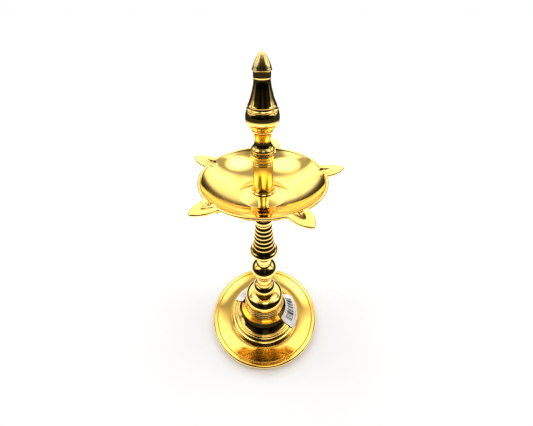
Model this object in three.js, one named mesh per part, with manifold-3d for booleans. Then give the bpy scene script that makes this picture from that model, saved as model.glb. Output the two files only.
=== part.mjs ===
// Brass standing oil lamp (samai): a bell base on a wide dish, a turned stem, a shallow oil pan
// with five wick beaks, and a column and finial above it.
//
// Every piece is turned about the Z axis. The origin is on the table, under the middle of the lamp,
// +Z is up and all sizes are in millimetres.

import * as THREE from 'three';
import Module from 'manifold-3d';
import { mergeVertices } from 'three/addons/utils/BufferGeometryUtils.js';

const wasm = await Module();
wasm.setup();

// ---------------------------------------------------------------------------
// Driving dimensions
// ---------------------------------------------------------------------------

const GAP = 0.3; // left between two pieces that sit on each other
const BORE_PLAY = 0.3; // between a stud and the bore it screws into

const WIDE_SIDES = 36; // sides of the dish, the bell and the pan
const STEM_SIDES = 20; // sides of the stem, column and finial pieces
const ROD_SIDES = 12; // sides of the studs

// Levels at which one piece ends and the next begins, from the table up.
const DISH_SEAT = 4.0;
const BELL_CROWN = 60.8;
const KNOP_JOINT = 90.0;
const BALUSTER_JOINT = 118.8;
const PAN_UNDERSIDE = 205.8;
const PAN_FLOOR = 208.0;
const COLUMN_TOP = 243.4;
const COLLAR_TOP = 253.1;
const FINIAL_TOP = 295.4;
const LAMP_HEIGHT = 305.0;

const DISH_RADIUS = 68.8;
const DISH_WALL = 2.2;
const FOOT_RADIUS = 45.3; // where the bell's foot moulding meets the dish
const LIP_RADIUS = 37.9; // bright lip of the bell
const SHOULDER_RADIUS = 22.5;
const SMALL_BALL_RADIUS = 13.0;
const LARGE_BALL_RADIUS = 14.0;
const LOWER_NECK_RADIUS = 7.9;
const UPPER_NECK_RADIUS = 7.3;
const BELLY_RADIUS = 14.6;
const RING_PITCH = 4.75; // from one ring of the baluster to the next
const RING_COUNT = 6;

const PAN_RADIUS = 50.2;
const PAN_WALL = 2.2;
const PAN_RIM = 224.0;
const PAN_EDGE = PAN_RIM - 0.9; // where the bowl's inner face meets the rounded rim
const BOWL_REACH = 54; // half width of the ellipse that the bowl is the bottom of
const BOSS_RADIUS = 20.3; // low round boss in the middle of the bowl
const BOSS_HEIGHT = 4.2; // where its slope would reach the axis
const SEAT_RADIUS = 10.2; // flat seat on the boss, under the column's foot
const BEAK_COUNT = 5;
const FIRST_BEAK_DEG = 9.2;
const BEAK_ROOT = 49.2; // distance from the axis at which a beak's sides leave the rim
const BEAK_TIP_RADIUS = 66.4;
const BEAK_TIP_TOP = 225.6;
const CHANNEL_END_RADIUS = 57.6;
const CHANNEL_HALF_WIDTH = 4.3;

const COLUMN_FOOT_RADIUS = 9.8;
const COLUMN_RADIUS = 7.8;
const COLLAR_RADIUS = 8.5;
const COLLAR_NECK_RADIUS = 5.85;
const BULB_RADIUS = 11.4;
const CAP_RADIUS = 6.1;

const BIG_STUD_RADIUS = 4.0; // M8
const SMALL_STUD_RADIUS = 3.0; // M6

// ---------------------------------------------------------------------------
// Helpers
// ---------------------------------------------------------------------------

const degrees = (angle) => (angle * Math.PI) / 180;

/** Points of an elliptic arc in the (radius, height) plane; angle 0 points outwards, 90 up. */
function arc(centreR, centreZ, radiusR, radiusZ, fromDeg, toDeg, steps) {
  return Array.from({ length: steps + 1 }, (_, i) => {
    const angle = degrees(fromDeg + ((toDeg - fromDeg) * i) / steps);
    return [centreR + radiusR * Math.cos(angle), centreZ + radiusZ * Math.sin(angle)];
  });
}

/** Points of a curve radius = f(height), or any other pair, sampled for t from 0 to 1. */
function sample(pointAt, steps) {
  return Array.from({ length: steps + 1 }, (_, i) => pointAt(i / steps));
}

/** Straight-line mix of two numbers. */
const mix = (a, b, t) => a + (b - a) * t;

/** A turned solid: its (radius, height) outline runs up the outside, and back down a bore if any. */
function turned(outline, sides) {
  const points = outline.map(([radius, height]) => new THREE.Vector2(Math.max(radius, 0), height));
  return new THREE.LatheGeometry(points, sides).rotateX(Math.PI / 2);
}

/** A turned solid with a bore right through it. */
function turnedRing(outline, sides) {
  return turned([...outline, outline[0]], sides);
}

/** A three.js geometry as a manifold solid. */
function toSolid(geometry) {
  const bare = geometry.clone();
  bare.deleteAttribute('normal');
  bare.deleteAttribute('uv');
  const merged = mergeVertices(bare, 1e-4);
  return new wasm.Manifold(new wasm.Mesh({
    numProp: 3,
    vertProperties: new Float32Array(merged.attributes.position.array),
    triVerts: new Uint32Array(merged.index.array),
  }));
}

/** A manifold solid as a three.js geometry. */
function toGeometry(solid) {
  const mesh = solid.getMesh();
  const geometry = new THREE.BufferGeometry();
  geometry.setAttribute('position', new THREE.BufferAttribute(mesh.vertProperties, 3));
  geometry.setIndex(new THREE.BufferAttribute(mesh.triVerts, 1));
  geometry.computeVertexNormals();
  return geometry;
}

/** A stud with a small chamfer at each end. */
function stud(radius, bottom, top) {
  const chamfer = 0.6;
  return turned([
    [0, bottom],
    [radius - chamfer, bottom],
    [radius, bottom + chamfer],
    [radius, top - chamfer],
    [radius - chamfer, top],
    [0, top],
  ], ROD_SIDES);
}

// ---------------------------------------------------------------------------
// Base
// ---------------------------------------------------------------------------

/** Height of the dish's upper face: flat under the bell, then a shallow rise towards the rim. */
function dishTop(radius) {
  const flatTo = 46;
  const riseTo = 63.4;
  const rise = 4.0;
  const t = Math.max(0, (radius - flatTo) / (riseTo - flatTo));
  return DISH_SEAT + rise * t ** 1.6;
}

/** Wide dish with a rolled rim that it stands on, and a raised middle that hides the nut. */
function baseDish() {
  const bore = BIG_STUD_RADIUS + BORE_PLAY;
  const bossTop = 12;
  const bossRadius = 20;
  const bossFoot = 27;
  const grooveRadius = 63.4;
  const grooveDepth = 0.5;
  const footInner = 58.2;
  const footOuter = 62.0;
  const lip = 1.9;
  const face = (radius) => [radius, dishTop(radius)];
  const back = (radius) => [radius, dishTop(radius) - DISH_WALL];
  return turnedRing([
    [bore, bossTop - DISH_WALL],
    [bossRadius, bossTop - DISH_WALL],
    [bossFoot - DISH_WALL, DISH_SEAT - DISH_WALL],
    back(46),
    back(52),
    [footInner - 1.0, dishTop(57) - DISH_WALL],
    [footInner, 0],
    [footOuter, 0],
    [footOuter + 1.2, 3.6],
    [DISH_RADIUS - lip, 5.4],
    ...arc(DISH_RADIUS - lip, 7.3, lip, lip, -50, 110, 5),
    [grooveRadius + 0.6, dishTop(grooveRadius) + 0.2],
    [grooveRadius, dishTop(grooveRadius) - grooveDepth],
    [grooveRadius - 0.6, dishTop(grooveRadius)],
    face(58),
    face(52),
    face(46),
    [bossFoot, DISH_SEAT],
    [bossRadius + DISH_WALL, bossTop],
    [bore, bossTop],
  ], WIDE_SIDES);
}

/** Outer outline of the bell from its foot moulding up to the crown. */
function bellOutline() {
  const flareStart = [33.6, 15.6];
  const flareEnd = [24.3, 34.2];
  const ringLevels = [36.4, 40.0, 43.6];
  const ring = 0.55;
  const domeFrom = 49;
  const domeReach = 14;
  const waistRadius = (level) => mix(24.2, 22.9, (level - 34.2) / 11.4);
  return [
    [FOOT_RADIUS, DISH_SEAT + GAP],
    [FOOT_RADIUS - 0.2, 5.6],
    [FOOT_RADIUS - 1.3, 6.2],
    ...arc(FOOT_RADIUS - 3.9, 5.9, 2.7, 3.0, 20, 80, 2),
    ...arc(LIP_RADIUS - 1.0, 10.9, 2.6, 1.6, -10, 60, 2),
    [LIP_RADIUS - 1.0, 12.4],
    ...arc(LIP_RADIUS - 1.1, 13.6, 1.1, 1.1, -50, 80, 3),
    flareStart,
    ...sample((t) => [
      mix(flareStart[0], flareEnd[0], t) - 1.6 * Math.sin(Math.PI * t),
      mix(flareStart[1], flareEnd[1], t) - 0.8 * Math.sin(Math.PI * t),
    ], 5).slice(1),
    ...ringLevels.flatMap((level) => [
      [waistRadius(level - 1.0), level - 1.0],
      [waistRadius(level) + ring, level],
      [waistRadius(level + 1.0), level + 1.0],
    ]),
    [SHOULDER_RADIUS, 47],
    ...arc(SHOULDER_RADIUS - domeReach, domeFrom, domeReach, BELL_CROWN - domeFrom, 0, 90, 7),
  ];
}

/** Hollow cast bell: foot moulding, lip, flare, three fine rings and a domed crown. */
function bellFoot() {
  const bore = BIG_STUD_RADIUS + BORE_PLAY;
  const inside = [
    [bore, BELL_CROWN - 3.4],
    [11.0, BELL_CROWN - 3.6],
    [16.6, 53.2],
    [19.6, 48.5],
    [20.6, 36.0],
    [22.6, 28.0],
    [28.6, 17.6],
    [33.4, 12.8],
    [37.0, 8.4],
    [38.4, DISH_SEAT + GAP],
  ];
  return turnedRing([...bellOutline(), [bore, BELL_CROWN], ...inside], WIDE_SIDES);
}

/** Broad washer that spreads the nut's pull on the underside of the dish. */
function baseWasher() {
  const top = 12 - DISH_WALL - GAP;
  return turnedRing([
    [BIG_STUD_RADIUS + BORE_PLAY, top - 1.5],
    [12, top - 1.5],
    [12, top],
    [BIG_STUD_RADIUS + BORE_PLAY, top],
  ], ROD_SIDES);
}

/** Hexagon nut on the lower end of the base stud. */
function baseNut() {
  const acrossFlats = 13;
  const height = 4.8;
  const top = 12 - DISH_WALL - GAP - 1.5 - GAP;
  const corner = acrossFlats / 2 / Math.cos(degrees(30));
  const shape = new THREE.Shape(Array.from({ length: 6 }, (_, i) => new THREE.Vector2(
    corner * Math.cos(degrees(60 * i)),
    corner * Math.sin(degrees(60 * i)),
  )));
  const hole = new THREE.Path();
  hole.absarc(0, 0, BIG_STUD_RADIUS + BORE_PLAY, 0, 2 * Math.PI, true);
  shape.holes.push(hole);
  return new THREE.ExtrudeGeometry(shape, { depth: height, bevelEnabled: false, curveSegments: 8 })
    .translate(0, 0, top - height);
}

/** Paper label bent round the bell: its short side follows the flare, the lip and the foot. */
function label(middleDeg) {
  const across = 6;
  const along = 12;
  const thickness = 0.25;
  const upperHalfDeg = 40.5;
  const lowerHalfDeg = 31.0;
  const path = new THREE.CatmullRomCurve3([
    new THREE.Vector3(27.6, 0, 26.9),
    new THREE.Vector3(29.9, 0, 22.3),
    new THREE.Vector3(34.0, 0, 16.9),
    new THREE.Vector3(38.5, 0, 13.9),
    new THREE.Vector3(41.6, 0, 10.6),
    new THREE.Vector3(44.2, 0, 7.4),
  ]);
  const point = (u, v, lift) => {
    const place = path.getPoint(v);
    const tangent = path.getTangent(v);
    const half = degrees(mix(upperHalfDeg, lowerHalfDeg, v));
    const angle = degrees(middleDeg) + half * u;
    const radius = place.x - tangent.z * lift;
    return [radius * Math.cos(angle), radius * Math.sin(angle), place.z + tangent.x * lift];
  };
  const positions = [];
  [thickness, 0].forEach((lift) => {
    for (let row = 0; row <= across; row += 1) {
      for (let column = 0; column <= along; column += 1) {
        positions.push(...point((2 * column) / along - 1, row / across, lift));
      }
    }
  });
  const layer = (across + 1) * (along + 1);
  const at = (row, column, side) => side * layer + row * (along + 1) + column;
  const faces = [];
  const quad = (a, b, c, d) => faces.push(a, b, c, a, c, d);
  for (let row = 0; row < across; row += 1) {
    for (let column = 0; column < along; column += 1) {
      quad(at(row, column, 0), at(row + 1, column, 0), at(row + 1, column + 1, 0), at(row, column + 1, 0));
      quad(at(row, column, 1), at(row, column + 1, 1), at(row + 1, column + 1, 1), at(row + 1, column, 1));
    }
  }
  for (let column = 0; column < along; column += 1) {
    quad(at(0, column, 0), at(0, column + 1, 0), at(0, column + 1, 1), at(0, column, 1));
    quad(at(across, column, 1), at(across, column + 1, 1), at(across, column + 1, 0), at(across, column, 0));
  }
  for (let row = 0; row < across; row += 1) {
    quad(at(row, 0, 1), at(row + 1, 0, 1), at(row + 1, 0, 0), at(row, 0, 0));
    quad(at(row, along, 0), at(row + 1, along, 0), at(row + 1, along, 1), at(row, along, 1));
  }
  const geometry = new THREE.BufferGeometry();
  geometry.setAttribute('position', new THREE.Float32BufferAttribute(positions, 3));
  geometry.setIndex(faces);
  geometry.computeVertexNormals();
  return geometry;
}

// ---------------------------------------------------------------------------
// Stem
// ---------------------------------------------------------------------------

/** Small ball on the bell's crown, drawn up into a broad neck. */
function lowerKnop() {
  const bore = BIG_STUD_RADIUS + BORE_PLAY;
  const bottom = BELL_CROWN + GAP;
  const top = KNOP_JOINT - GAP;
  const middle = 70.6;
  const height = 10.4;
  const neckFrom = 36; // degrees up the ball at which the neck begins
  const neckLow = middle + height * Math.sin(degrees(neckFrom));
  const neckWide = SMALL_BALL_RADIUS * Math.cos(degrees(neckFrom));
  return turnedRing([
    [bore, bottom],
    [8.9, bottom],
    [9.3, bottom + 0.9],
    ...arc(0, middle, SMALL_BALL_RADIUS, height, -50, neckFrom, 7),
    ...sample((t) => [
      mix(neckWide, LOWER_NECK_RADIUS, Math.sin((Math.PI / 2) * t)),
      mix(neckLow, top, t),
    ], 3).slice(1),
    [bore, top],
  ], STEM_SIDES);
}

/** Large ball with a short neck below and above it. */
function upperKnop() {
  const bore = BIG_STUD_RADIUS + BORE_PLAY;
  return turnedRing([
    [bore, KNOP_JOINT],
    [LOWER_NECK_RADIUS, KNOP_JOINT],
    [LOWER_NECK_RADIUS - 0.1, 93.8],
    ...arc(0, 105.4, LARGE_BALL_RADIUS, 11.6, -52, 55, 9),
    [UPPER_NECK_RADIUS, BALUSTER_JOINT - 2.8],
    [UPPER_NECK_RADIUS, BALUSTER_JOINT - GAP],
    [bore, BALUSTER_JOINT - GAP],
  ], STEM_SIDES);
}

/** Radius of the baluster's body, without its rings, at a height. */
function balusterRadius(height) {
  const bottom = 143.0;
  const top = 171.0;
  const t = (height - bottom) / (top - bottom);
  return mix(11.5, 7.5, Math.min(1, t) ** 0.55);
}

/** Ringed baluster: cove and full belly below, six stepped rings, a bead, and the pan's flange. */
function ringedBaluster() {
  const bore = BIG_STUD_RADIUS + BORE_PLAY;
  const ringsFrom = 143.6;
  const groove = 0.55;
  const rings = Array.from({ length: RING_COUNT }, (_, i) => {
    const low = ringsFrom + i * RING_PITCH;
    return [
      [balusterRadius(low) - groove, low],
      [balusterRadius(low + 1.2) + 0.25, low + 1.2],
      [balusterRadius(low + 3.4) + 0.25, low + 3.4],
    ];
  }).flat();
  const ringsTo = ringsFrom + RING_COUNT * RING_PITCH;
  return turned([
    [0, 133.0],
    [bore, 133.0],
    [bore, BALUSTER_JOINT],
    [UPPER_NECK_RADIUS, BALUSTER_JOINT],
    [UPPER_NECK_RADIUS, 122.4],
    ...arc(UPPER_NECK_RADIUS + 9.6, 123.6, 9.4, 9.0, 178, 132, 3),
    ...arc(BELLY_RADIUS - 3.7, 136.2, 3.7, 4.2, -55, 60, 5),
    ...rings,
    [7.0, ringsTo],
    [7.4, ringsTo + 1.6],
    ...arc(5.4, 177.6, 2.8, 3.4, -50, 50, 4),
    [7.0, 182.6],
    [7.4, 186.0],
    ...arc(16.4, 189.0, 8.8, 13.0, 165, 100, 4),
    [16.4, 203.2],
    [16.4, PAN_UNDERSIDE - GAP],
    [bore, PAN_UNDERSIDE - GAP],
    [bore, 190.0],
    [0, 190.0],
  ], STEM_SIDES);
}

// ---------------------------------------------------------------------------
// Oil pan
// ---------------------------------------------------------------------------

/** The bowl's inner face outside its boss is part of an ellipsoid: its height and slope there. */
function bowl(radius) {
  const root = (distance) => Math.sqrt(1 - (distance / BOWL_REACH) ** 2);
  const drop = root(BOSS_RADIUS) - root(PAN_RADIUS - PAN_WALL);
  const height = (PAN_EDGE - PAN_FLOOR) / drop;
  return {
    level: PAN_FLOOR + height * (root(BOSS_RADIUS) - root(radius)),
    slope: Math.atan((height * radius) / (BOWL_REACH ** 2 * root(radius))),
  };
}

/** Outline of the bowl's inner face from a radius outwards, pushed out by a wall thickness. */
function bowlOutline(from, wall, steps) {
  const curve = sample((t) => {
    const radius = mix(BOSS_RADIUS, PAN_RADIUS - PAN_WALL, t ** 0.85);
    const { level, slope } = bowl(radius);
    return [radius + wall * Math.sin(slope), level - wall * Math.cos(slope)];
  }, steps);
  return [[from, PAN_FLOOR - wall], ...curve];
}

/** Level of the boss's upper face: a shallow cone with full sides and a flat seat. */
function bossTop(radius) {
  return PAN_FLOOR + BOSS_HEIGHT * (1 - (Math.max(radius, SEAT_RADIUS) / BOSS_RADIUS) ** 1.25);
}

/** Half width of a beak at a distance from the axis: broad root, slightly full sides, blunt tip. */
function beakHalfWidth(radius) {
  const t = Math.max(0, (radius - BEAK_ROOT) / (BEAK_TIP_RADIUS - BEAK_ROOT));
  const flare = 1.2 * Math.max(0, 1 - t * 6) ** 2;
  return 8.0 * (1 - t ** 2.4) ** 0.75 + flare;
}

/** One flat beak along +X: its plan outline cut out of a plate that rises a little to its tip. */
function beak() {
  const inner = 46.5;
  const rootHalf = 9.4;
  const thickness = 1.9;
  const side = sample((t) => {
    const radius = mix(BEAK_ROOT, BEAK_TIP_RADIUS, t ** 0.8);
    return [radius, beakHalfWidth(radius)];
  }, 12);
  const plan = [
    [inner, -rootHalf],
    ...side.map(([radius, half]) => [radius, -half]),
    ...side.slice(0, -1).reverse(),
    [inner, rootHalf],
  ].map(([x, y]) => new THREE.Vector2(x, y));
  const planBlock = new THREE.ExtrudeGeometry(new THREE.Shape(plan), { depth: 20, bevelEnabled: false })
    .translate(0, 0, 210);
  const rootTop = PAN_RIM - 0.25;
  const plate = [
    [inner - 1, rootTop],
    [PAN_RADIUS, rootTop],
    [BEAK_TIP_RADIUS + 1, BEAK_TIP_TOP],
    [BEAK_TIP_RADIUS + 1, BEAK_TIP_TOP - thickness],
    [PAN_RADIUS, rootTop - thickness - 1.1],
    [inner - 1, rootTop - thickness - 1.6],
  ].map(([x, z]) => new THREE.Vector2(x, z));
  const plateBlock = new THREE.ExtrudeGeometry(new THREE.Shape(plate), { depth: 24, bevelEnabled: false })
    .translate(0, 0, -12)
    .rotateX(Math.PI / 2);
  return toSolid(planBlock).intersect(toSolid(plateBlock));
}

/** Wick channel along +X: a long drop shape that opens into the bowl and runs out on the beak. */
function wickChannel() {
  const middle = 45.0;
  const depth = 3.2;
  const drop = new THREE.SphereGeometry(1, 16, 10)
    .scale(CHANNEL_END_RADIUS - middle, CHANNEL_HALF_WIDTH, depth)
    .rotateY(degrees(-4))
    .translate(middle, 0, PAN_RIM + 0.3);
  return toSolid(drop);
}

/** Shallow pan with a low boss and five beaks, each with a channel that a wick lies in. */
function oilPan() {
  const bore = BIG_STUD_RADIUS + BORE_PLAY;
  const steps = 7;
  const boss = [bore, 10.2, 14, 17.5].map((radius) => [radius, bossTop(radius)]);
  const inside = [...boss, ...bowlOutline(bore, 0, steps).slice(1)];
  const outside = bowlOutline(bore, PAN_WALL, steps);
  const [edgeRadius, edgeLevel] = outside.at(-1);
  const shell = turnedRing([
    ...outside,
    [PAN_RADIUS, mix(edgeLevel, PAN_EDGE, 0.6)],
    ...arc(PAN_RADIUS - PAN_WALL / 2, PAN_EDGE, PAN_WALL / 2, PAN_RIM - PAN_EDGE, 0, 150, 4),
    ...inside.reverse(),
  ], WIDE_SIDES);
  const hollow = turned([
    ...bowlOutline(0, 0, steps),
    [edgeRadius - 1.2, PAN_RIM + 5],
    [0, PAN_RIM + 5],
  ], WIDE_SIDES);
  const around = (solid, index) => solid.rotate([0, 0, FIRST_BEAK_DEG + (360 / BEAK_COUNT) * index]);
  const indices = Array.from({ length: BEAK_COUNT }, (_, index) => index);
  const beaks = indices.map((index) => around(beak(), index).subtract(toSolid(hollow)));
  const channels = indices.map((index) => around(wickChannel(), index));
  const whole = beaks.reduce((pan, solid) => pan.add(solid), toSolid(shell));
  return toGeometry(channels.reduce((pan, solid) => pan.subtract(solid), whole));
}

// ---------------------------------------------------------------------------
// Column and finial
// ---------------------------------------------------------------------------

/** Grooved column that clamps the pan on the stem, on a small foot. */
function oilColumn() {
  const lowerBore = BIG_STUD_RADIUS + BORE_PLAY;
  const upperBore = SMALL_STUD_RADIUS + BORE_PLAY;
  const foot = bossTop(0) + GAP;
  const groove = 0.45;
  const body = (height) => mix(COLUMN_RADIUS + 0.2, COLUMN_RADIUS, Math.min(1, (height - 216) / 16));
  const grooveAt = (level) => [
    [body(level - 0.6), level - 0.6],
    [body(level) - groove, level],
    [body(level + 0.6), level + 0.6],
  ];
  return turned([
    [0, 225.5],
    [lowerBore, 225.5],
    [lowerBore, foot],
    [COLUMN_FOOT_RADIUS - 0.3, foot],
    [COLUMN_FOOT_RADIUS, foot + 0.5],
    [COLUMN_FOOT_RADIUS - 0.3, foot + 0.9],
    ...sample((t) => [
      mix(9.1, COLUMN_RADIUS + 0.3, Math.sin((Math.PI / 2) * t)),
      mix(foot + 1.2, 214.6, t),
    ], 4),
    [body(222), 222],
    ...grooveAt(236.0),
    ...grooveAt(237.8),
    [COLUMN_RADIUS + 0.2, 241.2],
    [COLUMN_RADIUS + 0.5, 242.2],
    [COLUMN_RADIUS + 0.3, COLUMN_TOP],
    [upperBore, COLUMN_TOP],
    [upperBore, 229.5],
    [0, 229.5],
  ], STEM_SIDES);
}

/** Collar with a shoulder bead and a hollow slope up to the finial. */
function columnCollar() {
  const bore = SMALL_STUD_RADIUS + BORE_PLAY;
  return turnedRing([
    [bore, COLUMN_TOP + GAP],
    [COLLAR_RADIUS - 0.5, COLUMN_TOP + GAP],
    [COLLAR_RADIUS - 0.1, 244.4],
    ...arc(COLLAR_RADIUS - 1.6, 246.6, 1.6, 1.7, -50, 60, 4),
    [COLLAR_RADIUS - 1.7, 248.9],
    ...sample((t) => [
      mix(6.8, COLLAR_NECK_RADIUS, Math.sin((Math.PI / 2) * t)),
      mix(249.6, COLLAR_TOP, t),
    ], 3),
    [bore, COLLAR_TOP],
  ], STEM_SIDES);
}

/** Finial: a hollow cone at the foot, a step, the bulb with two fine rings, and a long neck. */
function finialBody() {
  const lowerBore = SMALL_STUD_RADIUS + BORE_PLAY;
  const capBore = 2.6;
  const bottom = COLLAR_TOP + GAP;
  const neckRadius = (height) => {
    const t = (height - 279) / (291.5 - 279);
    return mix(8.5, 5.15, Math.sin((Math.PI / 2) * t) ** 1.1);
  };
  return turned([
    [0, 271.0],
    [lowerBore, 271.0],
    [lowerBore, bottom],
    [COLLAR_NECK_RADIUS - 0.3, bottom],
    [6.0, 255.2],
    [6.6, 257.4],
    [7.2, 259.5],
    [7.5, 260.8],
    [8.4, 262.0],
    [9.8, 263.6],
    [11.0, 265.6],
    [BULB_RADIUS, 267.6],
    [BULB_RADIUS, 270.0],
    [11.0, 272.0],
    [10.3, 273.6],
    [10.4, 274.2],
    [9.8, 275.2],
    [9.5, 276.2],
    [9.5, 276.9],
    [8.8, 278.1],
    ...sample((t) => [neckRadius(mix(279, 291.5, t)), mix(279, 291.5, t)], 5),
    [5.4, 292.4],
    [5.4, FINIAL_TOP],
    [capBore, FINIAL_TOP],
    [capBore, 289.0],
    [0, 289.0],
  ], STEM_SIDES);
}

/** Pointed cap with a lip over the neck, and a spigot that screws into it. */
function finialCap() {
  const spigot = 2.3;
  const seat = FINIAL_TOP + GAP;
  const point = 1.7;
  return turned([
    [0, 290.0],
    [spigot, 290.0],
    [spigot, seat],
    [CAP_RADIUS - 0.3, seat],
    [CAP_RADIUS, seat + 0.5],
    ...sample((t) => [
      mix(CAP_RADIUS - 0.2, point, t) + 0.1 * Math.sin(Math.PI * t),
      mix(seat + 1.1, LAMP_HEIGHT - 0.9, t),
    ], 4),
    [point * 0.6, LAMP_HEIGHT - 0.2],
    [0, LAMP_HEIGHT],
  ], STEM_SIDES);
}

// ---------------------------------------------------------------------------
// Assembly
// ---------------------------------------------------------------------------

const FINISHES = {
  polished: { color: 0xe6b34a, roughness: 0.1, metalness: 1 },
  dish: { color: 0xe0a83f, roughness: 0.22, metalness: 1 },
  turned: { color: 0xcaa04a, roughness: 0.35, metalness: 1 },
  zinc: { color: 0xb4b7b8, roughness: 0.4, metalness: 1 },
  paper: { color: 0xf2f1ec, roughness: 0.8, metalness: 0 },
};

/** A named mesh with a material of its own. */
function piece(name, geometry, finish) {
  const mesh = new THREE.Mesh(geometry, new THREE.MeshStandardMaterial(FINISHES[finish]));
  mesh.name = name;
  return mesh;
}

/** A group of pieces that move together. */
function section(...meshes) {
  return new THREE.Group().add(...meshes);
}

const lamp = new THREE.Group();
lamp.add(
  section(
    piece('base_dish', baseDish(), 'dish'),
    piece('bell_foot', bellFoot(), 'polished'),
    piece('base_stud', stud(BIG_STUD_RADIUS, 1.2, 76), 'zinc'),
    piece('base_washer', baseWasher(), 'zinc'),
    piece('base_nut', baseNut(), 'zinc'),
    piece('label_right', label(-2), 'paper'),
    piece('label_left', label(128), 'paper'),
  ),
  section(
    piece('lower_knop', lowerKnop(), 'polished'),
    piece('knop_stud', stud(BIG_STUD_RADIUS, 78, 103), 'zinc'),
    piece('upper_knop', upperKnop(), 'polished'),
    piece('baluster_stud', stud(BIG_STUD_RADIUS, 105, 132), 'zinc'),
    piece('ringed_baluster', ringedBaluster(), 'polished'),
    piece('pan_stud', stud(BIG_STUD_RADIUS, 191, 224.5), 'zinc'),
  ),
  section(
    piece('oil_pan', oilPan(), 'polished'),
  ),
  section(
    piece('oil_column', oilColumn(), 'polished'),
    piece('column_collar', columnCollar(), 'polished'),
    piece('finial_stud', stud(SMALL_STUD_RADIUS, 230.5, 270), 'zinc'),
  ),
  section(
    piece('finial_body', finialBody(), 'polished'),
    piece('finial_cap', finialCap(), 'turned'),
  ),
);

export default lamp;
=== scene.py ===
# %% [markdown]
# # A polished brass standing oil lamp
#
# The lamp is a stack of turned brass pieces on threaded studs: a wide dish, a bell, two balls, a
# ringed baluster, a shallow pan with five beaks for wicks, and a column with a finial above it.
# A plain working model of it is loaded first. Every piece below then takes the place of one part
# of that model, with finer shape and a finish of its own. The lamp's outer size stays the same.

# %% Load the working model
import math

import bpy
import numpy as np
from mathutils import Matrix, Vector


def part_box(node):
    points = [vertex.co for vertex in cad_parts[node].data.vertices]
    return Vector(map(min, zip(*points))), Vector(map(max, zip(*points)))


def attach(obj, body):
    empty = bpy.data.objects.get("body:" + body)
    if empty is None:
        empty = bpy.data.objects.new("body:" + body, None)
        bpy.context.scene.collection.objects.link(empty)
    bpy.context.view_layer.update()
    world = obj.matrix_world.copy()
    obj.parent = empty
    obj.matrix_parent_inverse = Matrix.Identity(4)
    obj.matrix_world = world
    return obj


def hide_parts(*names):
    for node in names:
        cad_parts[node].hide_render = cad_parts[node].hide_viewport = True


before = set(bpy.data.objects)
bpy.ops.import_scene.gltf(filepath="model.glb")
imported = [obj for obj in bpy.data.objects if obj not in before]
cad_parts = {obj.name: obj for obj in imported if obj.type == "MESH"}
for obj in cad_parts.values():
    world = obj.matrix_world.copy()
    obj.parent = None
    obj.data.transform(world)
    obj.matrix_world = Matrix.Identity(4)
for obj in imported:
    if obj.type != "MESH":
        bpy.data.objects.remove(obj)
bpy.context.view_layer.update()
MM = 0.001
print("pieces in the working model:", len(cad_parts))

# %% [markdown]
# ## The camera
#
# A lamp like this is seen from close by and from above, a little over the height of its tip. A
# long lens from far away would flatten it, so a wide lens stands near: the tip looks large, the
# dish small, and the inside of the pan shows. The lens is given for a 36 mm wide sensor.

# %% Camera
CAMERA_PLACE = (0.0015, -0.1601, 0.3246)
CAMERA_TILT = math.radians(49.0)
CAMERA_TURN = math.radians(-0.4)

camera = bpy.data.objects.new("camera", bpy.data.cameras.new("camera"))
camera.data.lens = 16.2
camera.data.sensor_width = 36.0
camera.data.clip_start = 0.01
camera.data.clip_end = 50.0
camera.location = CAMERA_PLACE
camera.rotation_euler = (CAMERA_TILT, 0.0, CAMERA_TURN)
bpy.context.scene.collection.objects.link(camera)
bpy.context.scene.camera = camera
bpy.context.scene.view_settings.view_transform = "Standard"
print("camera height in mm:", round(CAMERA_PLACE[2] / MM))

# %% [markdown]
# ## The studio
#
# Polished brass has hardly a colour of its own: it shows what stands round it. So the world shader
# is a soft room made of bands that run from side to side: a pale wall behind, a dim strip, a broad
# row of ceiling lights, and the dark side where the camera stands. One ramp holds the bands,
# read from the angle that goes from the back, over the head, to the front. Two soft boxes light
# the pan's back wall. Only reflections and light see the room: the camera itself sees plain white,
# as it would in a catalogue. Bands in a picture would do as well, but numbers are easier to tune.

# %% Node helpers
def add_node(tree, kind, **values):
    """A node of that kind; values with names are its settings, and numbers fill its inputs."""
    node = tree.nodes.new(kind)
    for name, value in values.pop("inputs", {}).items():
        node.inputs[name].default_value = value
    for name, value in values.items():
        setattr(node, name, value)
    return node


def link(tree, source, target):
    """Joins an output to an input."""
    tree.links.new(source, target)


def maths(tree, operation, *values, clamp=False):
    """A Math node whose inputs are the values, each a socket or a number. Its result is returned."""
    node = add_node(tree, "ShaderNodeMath", operation=operation, use_clamp=clamp)
    for slot, value in enumerate(values):
        if isinstance(value, bpy.types.NodeSocket):
            link(tree, value, node.inputs[slot])
        else:
            node.inputs[slot].default_value = value
    return node.outputs[0]


def step(tree, value, low, high, to_low=0.0, to_high=1.0):
    """Smooth step: to_low where value is under low, to_high where it is over high."""
    node = add_node(tree, "ShaderNodeMapRange", interpolation_type="SMOOTHSTEP")
    link(tree, value, node.inputs["Value"])
    node.inputs["From Min"].default_value = low
    node.inputs["From Max"].default_value = high
    node.inputs["To Min"].default_value = to_low
    node.inputs["To Max"].default_value = to_high
    return node.outputs["Result"]


def mix_colour(tree, share, first, second):
    """A colour mix; first and second are sockets or colours. Its result is returned."""
    node = add_node(tree, "ShaderNodeMix", data_type="RGBA")
    for slot, value in ((0, share), (6, first), (7, second)):
        if isinstance(value, bpy.types.NodeSocket):
            link(tree, value, node.inputs[slot])
        else:
            node.inputs[slot].default_value = value
    return node.outputs[2]


def ramp(tree, value, stops):
    """A grey ramp: stops are (place, brightness) pairs."""
    node = add_node(tree, "ShaderNodeValToRGB")
    node.color_ramp.interpolation = "EASE"
    elements = node.color_ramp.elements
    while len(elements) < len(stops):
        elements.new(0.5)
    for element, (place, bright) in zip(elements, stops):
        element.position = place
        element.color = (bright, bright, bright, 1.0)
    link(tree, value, node.inputs["Fac"])
    return node.outputs["Color"]


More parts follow.
